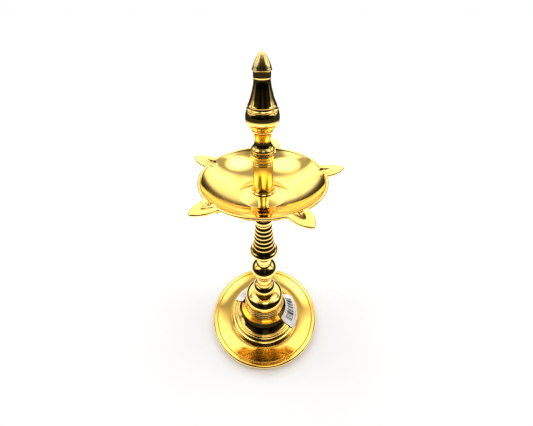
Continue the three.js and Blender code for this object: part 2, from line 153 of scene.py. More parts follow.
# %% The room
# Brightness by degrees, from the back over the head to the front.
BANDS = [(0, 0.08), (14, 0.09), (27, 0.55), (46, 0.74), (56, 0.62), (66, 0.17), (84, 0.20), (97, 0.86),
         (113, 0.95), (122, 0.012), (180, 0.006)]
# How bright the ceiling's lamps make it, by the direction's share to the left (-1) or right (1).
LAMPS = [(-1, 0.5), (-0.62, 0.9), (-0.36, 0.15), (-0.14, 0.12), (-0.03, 1), (0.16, 1), (0.28, 0.12),
         (0.5, 0.25), (0.75, 0.9), (1, 0.5)]
CEILING_FROM, CEILING_TO = 0.50, 0.54  # of the half turn over the head
HORIZON_SHADE = 0.16  # what is left of the bands at the horizon
FLOOR_LIGHT = 0.62
FLOOR_FROM, FLOOR_TO = -18, -32  # degrees above the horizon
SOFT_BOXES = [(0.42, 0.08, 0.904), (-0.38, 0.14, 0.914)]
SOFT_BOX_CORE, SOFT_BOX_EDGE = 2, 19  # degrees from its middle
SOFT_BOX_COLOUR = (1.1, 1.1, 1.1, 1)
ROOM_STRENGTH = 2.9


def light_room():
    """World shader: bands times ceiling lamps, the floor's own light, and the soft boxes on top."""
    world = bpy.data.worlds.new("soft room")
    bpy.context.scene.world = world
    world.use_nodes = True
    tree = world.node_tree
    tree.nodes.clear()
    direction = add_node(tree, "ShaderNodeTexCoord").outputs["Generated"]
    parts = add_node(tree, "ShaderNodeSeparateXYZ")
    link(tree, direction, parts.inputs[0])
    sideways, backwards, upwards = parts.outputs

    over_head = maths(tree, "DIVIDE", maths(tree, "ARCTAN2", upwards, backwards), math.pi)
    bands = ramp(tree, over_head, [(at / 180, bright) for at, bright in BANDS])
    lamps = ramp(tree, maths(tree, "MULTIPLY_ADD", sideways, 0.5, 0.5),
                 [((at + 1) / 2, bright) for at, bright in LAMPS])
    ceiling = step(tree, over_head, CEILING_FROM, CEILING_TO)
    bands = mix_colour(tree, ceiling, bands, maths(tree, "MULTIPLY", bands, lamps))
    above_horizon = step(tree, upwards, 0.10, 0.40, HORIZON_SHADE, 1.0)
    floor_light = step(tree, upwards, math.sin(math.radians(FLOOR_TO)),
                       math.sin(math.radians(FLOOR_FROM)), FLOOR_LIGHT, 0.0)
    seen = maths(tree, "MAXIMUM", maths(tree, "MULTIPLY", bands, above_horizon), floor_light)

    for box in SOFT_BOXES:
        toward = add_node(tree, "ShaderNodeVectorMath", operation="DOT_PRODUCT", inputs={1: box})
        link(tree, direction, toward.inputs[0])
        lit = step(tree, toward.outputs["Value"], math.cos(math.radians(SOFT_BOX_EDGE)),
                   math.cos(math.radians(SOFT_BOX_CORE)))
        seen = mix_colour(tree, lit, seen, SOFT_BOX_COLOUR)

    room = add_node(tree, "ShaderNodeBackground", inputs={"Strength": ROOM_STRENGTH})
    link(tree, seen, room.inputs["Color"])
    plain = add_node(tree, "ShaderNodeBackground", inputs={"Color": (1, 1, 1, 1), "Strength": 1.0})
    choice = add_node(tree, "ShaderNodeMixShader")
    link(tree, add_node(tree, "ShaderNodeLightPath").outputs["Is Camera Ray"], choice.inputs[0])
    link(tree, room.outputs[0], choice.inputs[1])
    link(tree, plain.outputs[0], choice.inputs[2])
    link(tree, choice.outputs[0], add_node(tree, "ShaderNodeOutputWorld").inputs["Surface"])


light_room()


# %% Floor
def make_floor():
    """A large pale floor at height zero. Brass mirrors the room's floor light instead of it."""
    half = 12.0
    mesh = bpy.data.meshes.new("floor")
    mesh.from_pydata([(-half, -half, 0), (half, -half, 0), (half, half, 0), (-half, half, 0)], [],
                     [(0, 1, 2, 3)])
    floor = bpy.data.objects.new("floor", mesh)
    bpy.context.scene.collection.objects.link(floor)
    material = bpy.data.materials.new("floor_paint")
    material.use_nodes = True
    shader = material.node_tree.nodes["Principled BSDF"]
    shader.inputs["Base Color"].default_value = (0.93, 0.93, 0.93, 1)
    shader.inputs["Roughness"].default_value = 0.9
    mesh.materials.append(material)
    floor.visible_glossy = False
    return floor


make_floor()

# %% [markdown]
# ## From an outline to a turned piece
#
# A turner cuts every piece to an outline while it spins. The same outline, given as distance from
# the axis and height, makes the mesh: it is joined from straight cuts, arcs and free curves. Real
# edges are never perfectly sharp after polishing, so the outline is averaged over a fraction of a
# millimetre. That rounds each corner by itself, and no bevel is needed. Points are then spread
# along it, close together where it turns and further apart where it runs straight.

# %% Outline helpers, in millimetres
FINE_STEP = 0.06
SURROUNDINGS = 0.9  # how far round a point counts as its surroundings
FULL_DEPTH = 0.12  # a point this far below its surroundings is fully sunk


def arc(centre, radii, start, stop):
    """Points of an elliptic arc: centre + radii * (cos, sin) of angles from start to stop."""
    steps = max(3, int(abs(stop - start) / 2.5))
    angle = np.radians(np.linspace(start, stop, steps + 1))
    return np.column_stack([centre[0] + radii[0] * np.cos(angle), centre[1] + radii[1] * np.sin(angle)])


def curve(*points, steps=20):
    """A smooth curve through the points: a cubic on each stretch, with slopes from its neighbours."""
    p = np.array(points, float)
    ends = np.vstack([2 * p[0] - p[1], p, 2 * p[-1] - p[-2]])
    t = np.linspace(0, 1, steps, endpoint=False)[None, :, None]
    a, b, c, d = ends[:-3, None], ends[1:-2, None], ends[2:-1, None], ends[3:, None]
    body = b + 0.5 * t * (c - a) + t**2 * (a - 2.5 * b + 2 * c - 0.5 * d) \
        + t**3 * (1.5 * (b - c) + 0.5 * (d - a))
    return np.vstack([body.reshape(-1, 2), p[-1]])


def outline(*parts):
    """Joins points, arcs and curves into one array of (distance from the axis, height)."""
    return np.vstack([np.atleast_2d(np.array(part, float)) for part in parts])


def walked(points):
    """How far along the outline each of its points is."""
    return np.concatenate([[0], np.cumsum(np.hypot(*np.diff(points, axis=0).T))])


def spread(points, marks, values=None):
    """The outline, and any values on it, read off at marks along its length."""
    along = walked(points)
    columns = points if values is None else np.column_stack([points, values])
    return np.column_stack([np.interp(marks, along, column) for column in columns.T])


def averaged(points, width, closed):
    """Each point replaced by a bell-weighted average of those within about twice width."""
    spacing = walked(points)[-1] / (len(points) - 1)
    reach = int(3 * width / spacing) + 1
    weight = np.exp(-0.5 * (np.arange(-reach, reach + 1) * spacing / width) ** 2)
    if closed:
        before, after = points[-reach - 1:-1], points[1:reach + 1]
    else:
        across_axis = np.array([-1.0, 1.0])
        before = points[1:reach + 1][::-1] * across_axis
        after = points[-reach - 1:-1][::-1] * across_axis
    padded = np.vstack([before, points, after])
    return np.column_stack([np.convolve(column, weight / weight.sum(), "valid") for column in padded.T])


def fair(points, closed, rounding=0.18, longest=1.0, turn=7.0):
    """A finished outline and how far each point is sunk below its surroundings, from 0 to 1.

    The outline is evened out and averaged over rounding. Its points then stand so that no step is
    longer than longest, nor turns by more than turn degrees.
    """
    loop = np.vstack([points, points[:1]]) if closed else points
    length = walked(loop)[-1]
    fine = spread(loop, np.linspace(0, length, int(length / FINE_STEP)))
    fine = averaged(fine, rounding, closed)
    wide = averaged(fine, SURROUNDINGS, closed)
    along = np.gradient(fine, axis=0)
    along /= np.linalg.norm(along, axis=1)[:, None]
    outwards = np.column_stack([along[:, 1], -along[:, 0]])
    sunk = np.clip(np.sum((wide - fine) * outwards, axis=1) / FULL_DEPTH, 0, 1)
    heading = np.unwrap(np.arctan2(along[:, 1], along[:, 0]))
    distance = walked(fine)
    turned_by = np.concatenate([[0], np.cumsum(np.abs(np.diff(heading)))])
    effort = distance / longest + turned_by / math.radians(turn)
    stops = np.linspace(0, effort[-1], int(effort[-1]) + 2)
    result = spread(fine, np.interp(stops, effort, distance), sunk)
    return result[:, :2], result[:, 2]


# %% Mesh helpers
def mesh_from_grid(name, points, closed_rows, sunk=None):
    """A mesh from points[row, column]: columns go round the axis and close on themselves.

    Each face joins (row, column), the next column, and the same two on the next row. Rows close on
    themselves too if closed_rows. Otherwise the first and last rows are points on the axis, and
    each becomes one vertex with a fan of triangles.
    """
    rows, columns = points.shape[:2]
    grid = np.arange(rows * columns).reshape(rows, columns)
    here, beside = grid, np.roll(grid, -1, axis=1)
    if closed_rows:
        quads = np.stack([here, beside, np.roll(beside, -1, 0), np.roll(here, -1, 0)], -1)
        fans = np.empty((0, 3), int)
        keep = np.arange(rows * columns)
    else:
        quads = np.stack([here[1:-2], beside[1:-2], beside[2:-1], here[2:-1]], -1)
        first, last = np.full(columns, grid[0, 0]), np.full(columns, grid[-1, 0])
        fans = np.vstack([np.stack([first, beside[1], here[1]], -1),
                          np.stack([last, here[-2], beside[-2]], -1)])
        keep = np.concatenate([grid[0, :1], grid[1:-1].ravel(), grid[-1, :1]])
    quads = quads.reshape(-1, 4)
    number = np.zeros(rows * columns, int)
    number[keep] = np.arange(len(keep))
    corners = np.concatenate([number[quads].ravel(), number[fans].ravel()])
    starts = np.concatenate([np.arange(len(quads)) * 4, len(quads) * 4 + np.arange(len(fans)) * 3])
    mesh = bpy.data.meshes.new(name)
    mesh.vertices.add(len(keep))
    mesh.vertices.foreach_set("co", (points.reshape(-1, 3)[keep] * MM).astype(np.float32).ravel())
    mesh.loops.add(len(corners))
    mesh.loops.foreach_set("vertex_index", corners.astype(np.int32))
    mesh.polygons.add(len(starts))
    mesh.polygons.foreach_set("loop_start", starts.astype(np.int32))
    mesh.polygons.foreach_set("use_smooth", np.ones(len(starts), bool))
    mesh.update(calc_edges=True)
    if sunk is not None:
        values = np.repeat(sunk, columns)[keep]
        layer = mesh.attributes.new("sunk", "FLOAT", "POINT")
        layer.data.foreach_set("value", values.astype(np.float32))
    return mesh


def spin(points, columns):
    """Points of an outline turned round the axis: (r cos a, r sin a, z) for every angle a."""
    angle = 2 * np.pi * np.arange(columns) / columns
    radius, level = points[:, :1], points[:, 1:]
    return np.stack([radius * np.cos(angle), radius * np.sin(angle), level + 0 * angle], -1)


def place(mesh, node, body, finish):
    """Makes the mesh a piece that stands for a node of the working model and moves with its body."""
    piece = bpy.data.objects.new(mesh.name, mesh)
    bpy.context.scene.collection.objects.link(piece)
    mesh.materials.append(finish["material"])
    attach(piece, body)
    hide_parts(node)
    faces = sum(len(polygon.vertices) - 2 for polygon in mesh.polygons)
    size = [round(side / MM, 1) for side in piece.dimensions]
    print(f"{piece.name}: {faces} triangles, {size} mm")
    return piece


def turned(node, body, finish, points, closed=True, columns=144, **fairing):
    """A turned piece: its outline is faired, spun round the axis and put in its place."""
    points, sunk = fair(points, closed, **fairing)
    if closed:
        points, sunk = points[:-1], sunk[:-1]
    else:
        points[[0, -1], 0] = 0
    mesh = mesh_from_grid(node + "_turned", spin(points, columns), closed, sunk)
    return place(mesh, node, body, finish)


# %% [markdown]
# ## Marks that every metal finish shares
#
# Three effects turn up on more than one metal, so each is a node group with named inputs. Lathe
# marks are fine rings: noise that is read from the distance to the axis and the height only, so it
# is the same all the way round. Handling is a soft patchiness from fingers and cloths. Casting
# pits are specks, where a small bubble came to the surface. All of them are read from the piece's
# own place, in metres, and the groups put out masks and heights. The shader stays in the material.

# %% Node groups
def new_group(name, inputs, outputs):
    """An empty shader node group with float inputs (name, value), a Vector, and float outputs."""
    group = bpy.data.node_groups.new(name, "ShaderNodeTree")
    group.interface.new_socket("Vector", in_out="INPUT", socket_type="NodeSocketVector")
    for label, value in inputs:
        socket = group.interface.new_socket(label, in_out="INPUT", socket_type="NodeSocketFloat")
        socket.default_value = value
    for label in outputs:
        group.interface.new_socket(label, in_out="OUTPUT", socket_type="NodeSocketFloat")
    return group, group.nodes.new("NodeGroupInput"), group.nodes.new("NodeGroupOutput")


def lathe_marks_group():
    """Rings: noise of (distance from the axis, height) times Lines, sharpened into thin scratches."""
    group, given, result = new_group("lathe marks", [("Lines", 2500.0), ("Sharpness", 0.5)],
                                     ["Height", "Scratch"])
    split = add_node(group, "ShaderNodeSeparateXYZ")
    link(group, given.outputs["Vector"], split.inputs[0])
    radius = maths(group, "SQRT", maths(
        group, "ADD", maths(group, "MULTIPLY", split.outputs["X"], split.outputs["X"]),
        maths(group, "MULTIPLY", split.outputs["Y"], split.outputs["Y"])))
    flat = add_node(group, "ShaderNodeCombineXYZ")
    link(group, maths(group, "MULTIPLY", radius, given.outputs["Lines"]), flat.inputs["X"])
    link(group, maths(group, "MULTIPLY", split.outputs["Z"], given.outputs["Lines"]), flat.inputs["Y"])
    noise = add_node(group, "ShaderNodeTexNoise", noise_dimensions="2D",
                     inputs={"Scale": 1.0, "Detail": 3.0, "Roughness": 0.6})
    link(group, flat.outputs[0], noise.inputs["Vector"])
    height = noise.outputs["Fac"]
    away = maths(group, "ABSOLUTE", maths(group, "SUBTRACT", height, 0.5))
    deep = maths(group, "SUBTRACT", away, 0.14)
    scratch = maths(group, "MULTIPLY", maths(group, "MULTIPLY", deep, 14.0, clamp=True),
                    given.outputs["Sharpness"])
    link(group, height, result.inputs["Height"])
    link(group, scratch, result.inputs["Scratch"])
    return group


def handling_group():
    """Soft patches: two noises at Size multiplied, stretched to run from 0 to 1."""
    group, given, result = new_group("handling", [("Size", 60.0)], ["Mask", "Fine"])
    broad = add_node(group, "ShaderNodeTexNoise",
                     inputs={"Detail": 2.0, "Roughness": 0.5, "Distortion": 0.4})
    fine = add_node(group, "ShaderNodeTexNoise", inputs={"Detail": 5.0, "Roughness": 0.65})
    link(group, given.outputs["Vector"], broad.inputs["Vector"])
    link(group, given.outputs["Vector"], fine.inputs["Vector"])
    link(group, given.outputs["Size"], broad.inputs["Scale"])
    link(group, maths(group, "MULTIPLY", given.outputs["Size"], 9.0), fine.inputs["Scale"])
    link(group, step(group, broad.outputs["Fac"], 0.38, 0.68), result.inputs["Mask"])
    link(group, step(group, fine.outputs["Fac"], 0.35, 0.7), result.inputs["Fine"])
    return group


def pits_group():
    """Specks: cells of Cells to the metre, of which the share Amount holds a round pit."""
    group, given, result = new_group("casting pits", [("Cells", 250.0), ("Amount", 0.1)], ["Mask"])
    cells = add_node(group, "ShaderNodeTexVoronoi", inputs={"Randomness": 1.0})
    link(group, given.outputs["Vector"], cells.inputs["Vector"])
    link(group, given.outputs["Cells"], cells.inputs["Scale"])
    split = add_node(group, "ShaderNodeSeparateColor")
    link(group, cells.outputs["Color"], split.inputs[0])
    chosen = maths(group, "LESS_THAN", split.outputs[0], given.outputs["Amount"])
    size = maths(group, "MULTIPLY", split.outputs[1], 0.13)
    near = maths(group, "SUBTRACT", maths(group, "ADD", size, 0.06), cells.outputs["Distance"])
    link(group, maths(group, "MULTIPLY", maths(group, "MULTIPLY", near, 16.0, clamp=True), chosen),
         result.inputs["Mask"])
    return group


LATHE_MARKS = lathe_marks_group()
HANDLING = handling_group()
PITS = pits_group()
print("node groups:", [group.name for group in bpy.data.node_groups])


def use_group(tree, group, vector, **values):
    """The group placed in a material with its own values. Returns its node."""
    node = add_node(tree, "ShaderNodeGroup", node_tree=group)
    link(tree, vector, node.inputs["Vector"])
    for name, value in values.items():
        node.inputs[name].default_value = value
    return node


# %% [markdown]
# ## Metal finishes
#
# One function makes all the metals, because they differ only in numbers: a buffed mirror for the
# stem and the pan, a softer gloss for the big dish, bright tool marks on the cap, and dull zinc on
# the studs. The mesh holds how deep each point is sunk, and that dulls the bottom of every groove
# and darkens it with painted shade.

# %% Metals
HANDLING_SIZE = 55.0
PIT_CELLS = 260.0
# The last of these is how far painted shade darkens the bottom of the grooves.
HANDLED, SCRATCHED, PITTED, GROOVE_SHADE = 0.55, 0.35, 0.8, 0.75  # how far each mark changes the colour
PIT_DEPTH = 6.0  # against the lathe marks' height
# Dark colours for the pits, and for the painted shade at the bottom of the grooves.
BRASS_PIT_AND_SHADE = (0.16, 0.09, 0.02, 1)
ZINC_PIT_AND_SHADE = (0.16, 0.15, 0.14, 1)


def metal(name, slot, bright, deep, roughness, lines, line_depth, pit_amount,
          pit_and_shade=BRASS_PIT_AND_SHADE):
    """A metal finish: colours, a (smooth, rough) pair, and how strong its lathe marks and pits are."""
    material = bpy.data.materials.new(name)
    material.use_nodes = True
    tree = material.node_tree
    shader = tree.nodes["Principled BSDF"]
    shader.inputs["Metallic"].default_value = 1.0
    where = add_node(tree, "ShaderNodeTexCoord").outputs["Object"]
    marks = use_group(tree, LATHE_MARKS, where, Lines=lines)
    hands = use_group(tree, HANDLING, where, Size=HANDLING_SIZE)
    pits = use_group(tree, PITS, where, Cells=PIT_CELLS, Amount=pit_amount)
    sunk = add_node(tree, "ShaderNodeAttribute", attribute_name="sunk").outputs["Fac"]
    # Painted shade: the colour darkens where the mesh is sunk, at the bottom of grooves. The same mask
    # also dulls them.
    groove_shade_mask = maths(tree, "MULTIPLY", step(tree, sunk, 0.25, 1.0),
                    maths(tree, "ADD", maths(tree, "MULTIPLY", hands.outputs["Fine"], 0.5), 0.5))
    base = mix_colour(tree, maths(tree, "MULTIPLY", hands.outputs["Mask"], HANDLED), bright, deep)
    scratched = mix_colour(tree, maths(tree, "MULTIPLY", marks.outputs["Scratch"], SCRATCHED),
                           base, deep)
    pitted = mix_colour(tree, maths(tree, "MULTIPLY", pits.outputs["Mask"], PITTED), scratched, pit_and_shade)
    colour = mix_colour(tree, maths(tree, "MULTIPLY", groove_shade_mask, GROOVE_SHADE), pitted, pit_and_shade)
    link(tree, colour, shader.inputs["Base Color"])
    smooth, rough = roughness
    dull = maths(tree, "ADD", maths(tree, "MULTIPLY", hands.outputs["Mask"], 0.45),
                 maths(tree, "MULTIPLY", marks.outputs["Scratch"], 0.35))
    dull = maths(tree, "ADD", dull, maths(tree, "MULTIPLY", hands.outputs["Fine"], 0.2))
    dull = maths(tree, "ADD", dull, groove_shade_mask)
    link(tree, step(tree, dull, 0.0, 1.4, smooth, rough), shader.inputs["Roughness"])
    bump = add_node(tree, "ShaderNodeBump", inputs={"Strength": 1.0, "Distance": line_depth})
    relief = maths(tree, "SUBTRACT", marks.outputs["Height"],
                   maths(tree, "MULTIPLY", pits.outputs["Mask"], PIT_DEPTH))
    link(tree, relief, bump.inputs["Height"])
    link(tree, bump.outputs["Normal"], shader.inputs["Normal"])
    return {"material": material, "slot": slot}


MIRROR_BRASS = metal("buffed brass", "brass_polished", (0.93, 0.66, 0.19, 1), (0.84, 0.51, 0.10, 1),
                     (0.035, 0.30), 1500.0, 1.2e-6, 0.02)
DISH_BRASS = metal("dish brass", "brass_dish", (0.92, 0.60, 0.14, 1), (0.82, 0.47, 0.08, 1),
                   (0.05, 0.24), 1100.0, 1.6e-6, 0.07)
CAP_BRASS = metal("tooled brass", "brass_turned", (0.86, 0.66, 0.26, 1), (0.66, 0.46, 0.12, 1),
                  (0.20, 0.48), 1300.0, 1.4e-5, 0.02)
ZINC = metal("zinc plate", "steel_zinc", (0.68, 0.69, 0.70, 1), (0.50, 0.51, 0.53, 1),
             (0.24, 0.50), 1800.0, 4e-6, 0.01, ZINC_PIT_AND_SHADE)


# %% [markdown]
# ## Dish and bell
#
# The dish is spun from sheet: a raised middle that hides the nut, a flat ring, a shallow rise with
# one cut groove, and a rolled rim. The bell on it is a hollow casting. Its outline has more in it
# than any other: foot moulding, a bright lip, a flare, three fine rings and a dome.

# %% Heights and radii that the working model gives, in millimetres
def extent(node):
    """Widest radius, lowest and highest level of a node of the working model."""
    low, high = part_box(node)
    return high.y / MM, low.z / MM, high.z / MM


dish_radius, _, dish_top = extent("base_dish")
foot_radius, bell_bottom, bell_top = extent("bell_foot")
ball_radius, small_ball_bottom, small_ball_top = extent("lower_knop")
big_ball_radius, big_ball_bottom, big_ball_top = extent("upper_knop")
flange_radius, baluster_bottom, baluster_top = extent("ringed_baluster")
_, pan_bottom, _ = extent("oil_pan")
column_foot, column_bottom, column_top = extent("oil_column")
collar_radius, collar_bottom, collar_top = extent("column_collar")
bulb_radius, finial_bottom, finial_top = extent("finial_body")
cap_radius, cap_bottom, cap_top = extent("finial_cap")
M8_BORE = 4.3
M6_BORE = 3.3
print("dish", round(2 * dish_radius, 1), "mm across; lamp", round(cap_top, 1), "mm high")

# %% Dish
WALL = 2.2
SEAT = bell_bottom - 0.3
GROOVE_AT = 63.4


def dish_face(radius, below=0.0):
    """Upper face of the dish: level under the bell, then rising as a power of the distance."""
    rise = 4.0 * np.clip((radius - 46) / (GROOVE_AT - 46), 0, None) ** 1.6
    return np.column_stack([radius, SEAT + rise - below])


RIM_ROUND = 1.9
turned("base_dish", "base", DISH_BRASS, outline(
    (M8_BORE, dish_top - WALL),
    (20, dish_top - WALL),
    (27 - WALL, SEAT - WALL),
    dish_face(np.linspace(46, 57, 12), WALL),
    (58.2, 0),
    (62.0, 0),
    (63.2, 3.6),
    arc((dish_radius - RIM_ROUND, 7.3), (RIM_ROUND, RIM_ROUND), -80, 115),
    dish_face(np.array([GROOVE_AT + 0.75])) + (0, 0.1),
    dish_face(np.array([GROOVE_AT + 0.2])) - (0, 0.55),
    dish_face(np.array([GROOVE_AT - 0.2])) - (0, 0.55),
    dish_face(np.linspace(GROOVE_AT - 0.7, 46, 40)),
    (27, SEAT),
    (20 + WALL, dish_top),
    (M8_BORE, dish_top),
), columns=256, longest=0.9)

# %% Bell
LIP = 37.9
SHOULDER = 23.0
DOME_REACH = 14.5
DOME_POWER = 2.5
RING_LEVELS = (36.4, 40.0, 43.6)


def waist(level):
    """Radius of the bell's slightly tapered waist."""
    return 24.15 - (level - 34.2) * 0.115


def waist_rings():
    """Three round fillets on the waist, each with a fine cut on both sides."""
    return np.vstack([outline(
        (waist(level) - 0.15, level - 1.05),
        arc((waist(level) - 0.2, level), (0.95, 0.8), -75, 75),
        (waist(level) - 0.15, level + 1.05),
    ) for level in RING_LEVELS])


def dome(radius, low, high):
    """The crown: a superellipse, |x|^p + |z|^p = 1, that is fuller at the shoulder than an arc."""
    angle = np.radians(np.linspace(3, 90, 36))
    x, z = np.cos(angle) ** (2 / DOME_POWER), np.sin(angle) ** (2 / DOME_POWER)
    return np.column_stack([radius - DOME_REACH + DOME_REACH * x, low + (high - low) * z])


turned("bell_foot", "base", MIRROR_BRASS, outline(
    (foot_radius, bell_bottom),
    (foot_radius - 0.1, 5.4),
    (foot_radius - 1.2, 6.1),
    (foot_radius - 1.35, 6.5),
    arc((foot_radius - 4.1, 5.9), (2.9, 3.2), 15, 80),
    (foot_radius - 4.4, 9.15),
    arc((LIP - 0.9, 10.6), (2.6, 1.7), -20, 66),
    (LIP - 1.1, 12.3),
    arc((LIP - 1.1, 13.6), (1.1, 1.15), -60, 85),
    (35.6, 14.55),
    curve((33.9, 15.4), (30.4, 18.3), (27.6, 22.4), (25.5, 27.2), (24.4, 31.2), (24.25, 34.4),
          steps=12),
    waist_rings(),
    (23.0, 45.0),
    curve((22.8, 45.4), (22.9, 47.0), (23.0, 48.6), steps=6),
    dome(SHOULDER, 49.0, bell_top),
    (M8_BORE, bell_top),
    (M8_BORE, bell_top - 3.4),
    (11.0, bell_top - 3.6),
    curve((16.6, 53.2), (19.6, 48.5), (20.6, 36.0), (22.6, 28.0), (28.6, 17.6), (33.4, 12.8),
          (37.0, 8.4), (38.4, bell_bottom), steps=8),
), columns=160, rounding=0.16)

# %% [markdown]
# ## Stem
#
# Two balls and a long baluster screw onto each other. The baluster's six rings are steps: each
# bulges over the one above, with a fine cut between them, and that gives the row of dark bars when
# it is polished. A loop makes the rings, since only their level and radius change.

# %% Balls
turned("lower_knop", "stem", MIRROR_BRASS, outline(
    (M8_BORE, small_ball_bottom),
    (8.9, small_ball_bottom),
    (9.3, small_ball_bottom + 0.8),
    (8.7, small_ball_bottom + 1.5),
    arc((0, 70.6), (ball_radius, 10.2), -42, 38),
    curve((9.35, 77.4), (8.75, 79.2), (8.5, 82.5), (8.3, 86.0), (7.9, 88.2), steps=8),
    (7.9, small_ball_top),
    (M8_BORE, small_ball_top),
), columns=128)

turned("upper_knop", "stem", MIRROR_BRASS, outline(
    (M8_BORE, big_ball_bottom),
    (7.9, big_ball_bottom),
    (8.2, 91.2),
    (7.8, 92.2),
    (7.8, 95.2),
    (8.5, 96.2),
    arc((0, 105.6), (big_ball_radius, 11.2), -50, 52),
    curve((7.9, 114.9), (7.4, 116.0), (7.3, 117.0), steps=6),
    (7.3, big_ball_top),
    (M8_BORE, big_ball_top),
), columns=128)

# %% Ringed baluster
RINGS_FROM = 143.6
RING_PITCH = 4.75
RING_COUNT = 6


def stem_radius(level):
    """Radius of the baluster's body: it narrows upwards as a power of the height."""
    return 11.5 - 4.0 * np.clip((level - 143.0) / 28.0, 0, 1) ** 0.55


def stepped_ring(low):
    """One ring: a cut, then a bulge that is widest near its foot and leans in to the next cut."""
    return outline(
        (stem_radius(low) - 0.75, low),
        curve((stem_radius(low + 0.5) + 0.15, low + 0.45), (stem_radius(low + 1.2) + 0.5, low + 1.5),
              (stem_radius(low + 2.6) + 0.3, low + 3.0), (stem_radius(low + 4.2) - 0.35, low + 4.3),
              steps=6),
    )


rings_to = RINGS_FROM + RING_COUNT * RING_PITCH
turned("ringed_baluster", "stem", MIRROR_BRASS, outline(
    (0, 133.0),
    (M8_BORE, 133.0),
    (M8_BORE, baluster_bottom),
    (7.3, baluster_bottom),
    curve((7.3, 121.5), (7.5, 125.0), (8.6, 128.0), (10.6, 131.0), (12.6, 132.6), steps=8),
    arc((10.5, 136.2), (3.7, 4.0), -50, 62),
    *[stepped_ring(RINGS_FROM + index * RING_PITCH) for index in range(RING_COUNT)],
    (6.9, rings_to),
    (7.35, rings_to + 0.9),
    (7.35, rings_to + 2.0),
    arc((5.2, 177.7), (3.0, 3.5), -55, 55),
    (6.8, 182.4),
    (7.2, 183.2),
    curve((7.3, 184.0), (7.5, 189.0), (8.8, 195.0), (11.8, 199.8), (16.0, 202.3), steps=8),
    (flange_radius, 202.9),
    (flange_radius, baluster_top),
    (M8_BORE, baluster_top),
    (M8_BORE, 190.0),
    (0, 190.0),
), closed=False, columns=128)

# %% [markdown]
# ## The pan and its beaks
#
# The pan is cast with its five beaks in one piece, so it can't be a plain turned shape. It is
# still a grid of columns round the axis, but the edge that each column reaches is a function of
# its angle: the round rim, or a beak's side or tip. On the way back in, the upper face runs over
# the beak and the rim and down into the bowl, and a leaf-shaped channel is taken off its height.
# In the middle of the bowl a low boss rises to the seat that the column stands on. Columns of the
# grid stand closer together at the beaks. A boolean cut would do too, but it leaves long thin
# faces that show as ripples in a mirror finish.

# %% Pan dimensions, in millimetres
PAN_FLOOR = pan_bottom + WALL
PAN_RADIUS = 50.2
PAN_INSIDE = 48.0
PAN_RIM = 224.0
PAN_EDGE = 223.1
BOSS_RADIUS = 20.3
BOSS_HEIGHT = 4.2
PAN_SEAT = 10.2
BOWL_REACH = 54.0
BEAK_COUNT = 5
FIRST_BEAK = math.radians(9.2)
BEAK_ROOT = 49.2
BEAK_TIP = 66.4
BEAK_TIP_TOP = 225.6
TIP_ROUND = 2.3
BEAK_EDGE = 0.95
CHANNEL_FROM = 45.5
CHANNEL_TO = 57.4
CHANNEL_HALF_WIDTH = 4.3
CHANNEL_FLOOR = 220.6
UNDERSIDE_TO = 46.6  # radius where the bowl's back turns up into the rim
BEAD_TOP = 49.25  # radius where the rim's bead is highest
ROOT_BULGE = 1.1


def bowl_root(radius):
    """The ellipse behind the bowl: the square root of 1 - (radius / reach) squared."""
    return np.sqrt(1 - (np.minimum(radius, BOWL_REACH) / BOWL_REACH) ** 2)


BOWL_HEIGHT = (PAN_EDGE - PAN_FLOOR) / (bowl_root(BOSS_RADIUS) - bowl_root(PAN_INSIDE))


def bowl_level(radius):
    """Inner face: a low cone with full sides and a level seat, then an ellipse up to the rim."""
    boss = BOSS_HEIGHT * (1 - (np.maximum(radius, PAN_SEAT) / BOSS_RADIUS) ** 1.25)
    return PAN_FLOOR + np.maximum(boss, BOWL_HEIGHT * (bowl_root(BOSS_RADIUS) - bowl_root(radius)))


def bowl_back(radius):
    """Points of the outer face: the inner face pushed out by the wall at right angles to itself."""
    slope = np.arctan(BOWL_HEIGHT * radius / (BOWL_REACH**2 * bowl_root(radius)))
    return np.column_stack([radius + WALL * np.sin(slope), bowl_level(radius) - WALL * np.cos(slope)])


def beak_half_width(radius):
    """Broad at the root, slightly full sides, and a round tip of 2.3 mm radius."""
    t = np.clip((radius - BEAK_ROOT) / (BEAK_TIP - BEAK_ROOT), 0, 1)
    sides = 8.0 * (1 - t**2.4) ** 0.75 + 1.2 * np.clip(1 - 6 * t, 0, 1) ** 2
    tip = np.sqrt(np.clip(TIP_ROUND**2 - (radius - BEAK_TIP + TIP_ROUND) ** 2, 0, None))
    return np.where(radius > BEAK_TIP - TIP_ROUND, np.maximum(sides, tip), sides)


def beak_top(radius):
    """Upper face of a beak: a straight rise from just under the rim to the tip."""
    start = PAN_RIM - 0.25
    return start + (BEAK_TIP_TOP - start) * (radius - PAN_RADIUS) / (BEAK_TIP - PAN_RADIUS)


# %% Pan grid
def pan_angles():
    """Angles of the columns, and how far each is from the middle of its beak, in radians."""
    crowd = np.radians(np.array([0, 3.2, 5.2, 11.5, 36.0]))
    share = np.array([0, 0.22, 0.36, 0.68, 1.0])
    half = np.interp(np.linspace(0, 1, 44), share, crowd)
    off = np.concatenate([-half[:0:-1], half[:-1]])
    middle = FIRST_BEAK + 2 * np.pi / BEAK_COUNT * np.arange(BEAK_COUNT)
    return (middle[:, None] + off).ravel(), np.tile(off, BEAK_COUNT)


def edge_radius(off):
    """How far out the edge is: the beak's outline read as a function of the angle, or the rim."""
    radius = np.linspace(BEAK_ROOT, BEAK_TIP, 400)
    angle = np.arctan2(beak_half_width(radius), radius)
    beak = np.interp(np.abs(off), angle[::-1], radius[::-1])
    return np.where(np.abs(off) < angle[0], np.maximum(beak, PAN_RADIUS), PAN_RADIUS)


